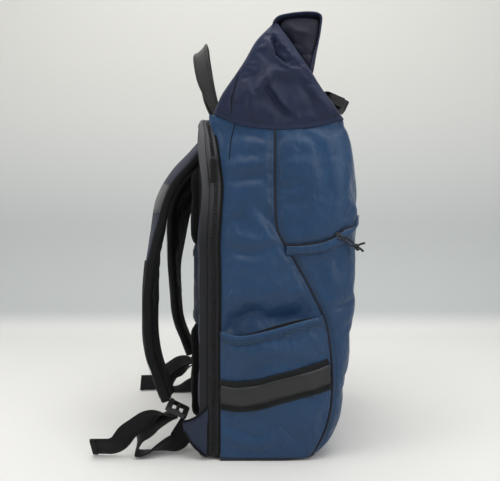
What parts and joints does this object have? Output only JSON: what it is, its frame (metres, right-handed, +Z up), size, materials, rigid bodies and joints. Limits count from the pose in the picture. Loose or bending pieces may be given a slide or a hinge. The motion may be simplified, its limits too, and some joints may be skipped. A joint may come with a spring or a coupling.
{
  "type": "solar backpack",
  "caption": "Roll-top backpack with a clamshell back panel, side pockets, reflective bands and a solar panel on the front pocket.",
  "frame": {"origin": "on the floor at the middle of the bag's width, under the base panel", "axes": "+Z up, -Y towards the solar panel on the front, +Y towards the wearer's back, X across the width with the wearer's left at -X"},
  "size_m": [0.3122, 0.3192, 0.5203],
  "materials": {
    "body_fabric": "blue coated polyester weave with a soft sheen",
    "collar_fabric": "dark navy polyester weave",
    "base_fabric": "dark coated fabric",
    "piping": "dark blue piped seam",
    "webbing": "black ribbed polyester webbing",
    "reflective_tape": "dark grey glass-bead tape",
    "zip_gusset": "charcoal zip tape weave",
    "zip_coil": "black nylon coil",
    "zip_metal": "gunmetal paint",
    "pull_cord": "black braided cord",
    "lining": "grey lining",
    "board": "black polyethylene sheet",
    "foam": "grey closed-cell foam",
    "back_fabric": "navy polyester",
    "mesh": "black spacer mesh",
    "strap_facing": "navy polyester facing",
    "buckle_plastic": "black acetal moulding",
    "controller_plastic": "black plastic case",
    "solar_laminate": "black laminate with a textured clear face",
    "solar_cell": "dark blue silicon under clear film",
    "eyelet_metal": "black eyelets"
  },
  "bodies": {
    "bag": {"base_foam": "foam", "base_panel": "base_fabric", "charge_controller": "controller_plastic", "clasp_lower": "buckle_plastic", "closure_anchor": "webbing", "collar_back": "collar_fabric", "collar_front": "collar_fabric", "collar_gussets": "collar_fabric", "front_pocket_panel": "body_fabric", "front_upper_panel": "body_fabric", "gusset_bag_side": "zip_gusset", "pocket_lining": "lining", "pocket_zip_tape": "zip_gusset", "reflective_bands": "webbing", "reflective_tapes": "reflective_tape", "seam_piping": "piping", "side_panel_left": "body_fabric", "side_panel_right": "body_fabric", "side_pocket_left": "body_fabric", "side_pocket_right": "body_fabric", "solar_cells": "solar_cell", "solar_eyelets": "eyelet_metal", "solar_laminate": "solar_laminate", "zip_chain_bag": "zip_coil"},
    "roll": {"roll_outer": "collar_fabric", "roll_core": "collar_fabric", "mouth_stiffener": "board", "closure_strap": "webbing", "clasp_upper": "buckle_plastic"},
    "handle": {"grab_handle": "webbing"},
    "back": {"gusset_back_side": "zip_gusset", "back_lining": "lining", "back_board": "board", "back_cover": "back_fabric", "upper_pad_left": "mesh", "upper_pad_right": "mesh", "lower_pad_left": "mesh", "lower_pad_right": "mesh", "luggage_sleeve": "back_fabric", "laptop_sleeve": "lining", "zip_chain_back": "zip_coil", "strap_wing_left": "back_fabric", "strap_wing_right": "back_fabric"},
    "strap_left": {"strap_pad_left": "mesh", "strap_facing_left": "strap_facing", "ladder_lock_left": "buckle_plastic", "adjuster_webbing_left": "webbing", "adjuster_tail_left": "webbing"},
    "strap_right": {"strap_pad_right": "mesh", "strap_facing_right": "strap_facing", "ladder_lock_right": "buckle_plastic", "adjuster_webbing_right": "webbing", "adjuster_tail_right": "webbing"},
    "slider_left": {"back_slider_left": "zip_metal"},
    "slider_right": {"back_slider_right": "zip_metal"},
    "pull_left": {"back_pull_left": "zip_metal"},
    "pull_right": {"back_pull_right": "zip_metal"},
    "pocket_slider": {"pocket_slider": "zip_metal"},
    "pocket_pull": {"pocket_pull": "pull_cord"}
  },
  "joints": [
    {"name": "roll_top", "type": "hinge", "parent": "bag", "child": "roll", "pos_m": [0, 0.003, 0.494], "axis": [-1, 0, 0], "range_deg": [0, 120]},
    {"name": "handle_swing", "type": "hinge", "parent": "bag", "child": "handle", "pos_m": [0, 0.0703, 0.3908], "axis": [1, 0, 0], "range_deg": [-20, 15]},
    {"name": "back_panel_opening", "type": "hinge", "parent": "bag", "child": "back", "pos_m": [0, 0.075, 0.003], "axis": [-1, 0, 0], "range_deg": [0, 75]},
    {"name": "strap_left_lift", "type": "hinge", "parent": "back", "child": "strap_left", "pos_m": [-0.074, 0.0952, 0.365], "axis": [1, 0, 0], "range_deg": [0, 12]},
    {"name": "strap_right_lift", "type": "hinge", "parent": "back", "child": "strap_right", "pos_m": [0.074, 0.0952, 0.365], "axis": [1, 0, 0], "range_deg": [0, 12]},
    {"name": "back_zip_left", "type": "slide", "parent": "bag", "child": "slider_left", "axis": [0, 0, -1], "range_m": [0, 0.29]},
    {"name": "back_zip_right", "type": "slide", "parent": "bag", "child": "slider_right", "axis": [0, 0, -1], "range_m": [0, 0.29]},
    {"name": "back_pull_left_swing", "type": "hinge", "parent": "slider_left", "child": "pull_left", "pos_m": [-0.1507, 0.075, 0.336], "axis": [1, 0, 0], "range_deg": [-75, 75]},
    {"name": "back_pull_right_swing", "type": "hinge", "parent": "slider_right", "child": "pull_right", "pos_m": [0.1507, 0.075, 0.336], "axis": [1, 0, 0], "range_deg": [-75, 75]},
    {"name": "pocket_zip", "type": "slide", "parent": "bag", "child": "pocket_slider", "axis": [0, 0.9864, -0.1644], "range_m": [0, 0.055]},
    {"name": "pocket_pull_swing", "type": "hinge", "parent": "pocket_slider", "child": "pocket_pull", "pos_m": [-0.1505, -0.066, 0.252], "axis": [1, 0, 0], "range_deg": [-60, 50]}
  ]
}
